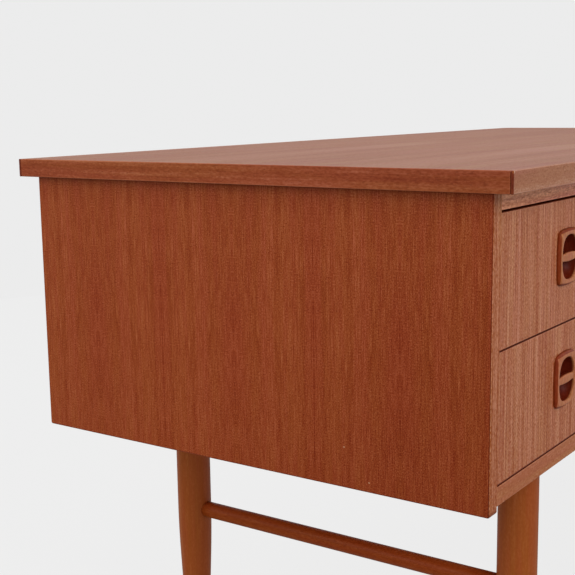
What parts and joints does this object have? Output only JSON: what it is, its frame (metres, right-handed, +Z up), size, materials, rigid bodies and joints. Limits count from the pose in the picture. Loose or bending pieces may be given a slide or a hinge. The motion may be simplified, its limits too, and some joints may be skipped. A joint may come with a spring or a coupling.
{
  "type": "writing desk",
  "caption": "Teak writing desk: a flat top on two drawer pedestals, standing on round tapered legs joined by stretchers.",
  "frame": {"origin": "on the floor, under the middle of the desktop", "axes": "+X to the right as seen from the front, +Y towards the rear, +Z up; the drawers open towards -Y"},
  "size_m": [1.436, 0.65, 0.73],
  "materials": {
    "teak_top": "satin lacquer",
    "teak_lipping": "satin lacquer",
    "teak_panel": "oiled satin",
    "teak_rail": "oiled satin",
    "teak_front": "oiled satin",
    "teak_pull": "satin",
    "teak_leg": "oiled satin",
    "beech": "matt",
    "plywood": "matt"
  },
  "bodies": {
    "carcass": {"top_core": "teak_top", "top_lipping_front": "teak_lipping", "top_lipping_rear": "teak_lipping", "top_lipping_left": "teak_lipping", "top_lipping_right": "teak_lipping", "left_outer_side": "teak_panel", "left_inner_side": "teak_panel", "left_back_panel": "teak_panel", "left_front_rail": "teak_rail", "left_bottom_board": "teak_rail", "left_rear_rail": "beech", "left_leg_front": "teak_leg", "left_leg_rear": "teak_leg", "left_stretcher": "teak_leg", "left_upper_runner_inner": "beech", "left_upper_runner_outer": "beech", "left_lower_runner_inner": "beech", "left_lower_runner_outer": "beech", "right_outer_side": "teak_panel", "right_inner_side": "teak_panel", "right_back_panel": "teak_panel", "right_front_rail": "teak_rail", "right_bottom_board": "teak_rail", "right_rear_rail": "beech", "right_leg_front": "teak_leg", "right_leg_rear": "teak_leg", "right_stretcher": "teak_leg", "right_upper_runner_inner": "beech", "right_upper_runner_outer": "beech", "right_lower_runner_inner": "beech", "right_lower_runner_outer": "beech"},
    "left_upper_drawer": {"left_upper_front": "teak_front", "left_upper_pull": "teak_pull", "left_upper_side_left": "beech", "left_upper_side_right": "beech", "left_upper_back": "beech", "left_upper_bottom": "plywood"},
    "left_lower_drawer": {"left_lower_front": "teak_front", "left_lower_pull": "teak_pull", "left_lower_side_left": "beech", "left_lower_side_right": "beech", "left_lower_back": "beech", "left_lower_bottom": "plywood"},
    "right_upper_drawer": {"right_upper_front": "teak_front", "right_upper_pull": "teak_pull", "right_upper_side_left": "beech", "right_upper_side_right": "beech", "right_upper_back": "beech", "right_upper_bottom": "plywood"},
    "right_lower_drawer": {"right_lower_front": "teak_front", "right_lower_pull": "teak_pull", "right_lower_side_left": "beech", "right_lower_side_right": "beech", "right_lower_back": "beech", "right_lower_bottom": "plywood"}
  },
  "joints": [
    {"name": "left_upper_slide", "type": "slide", "parent": "carcass", "child": "left_upper_drawer", "axis": [0, -1, 0], "range_m": [0, 0.4]},
    {"name": "left_lower_slide", "type": "slide", "parent": "carcass", "child": "left_lower_drawer", "axis": [0, -1, 0], "range_m": [0, 0.4]},
    {"name": "right_upper_slide", "type": "slide", "parent": "carcass", "child": "right_upper_drawer", "axis": [0, -1, 0], "range_m": [0, 0.4]},
    {"name": "right_lower_slide", "type": "slide", "parent": "carcass", "child": "right_lower_drawer", "axis": [0, -1, 0], "range_m": [0, 0.4]}
  ]
}
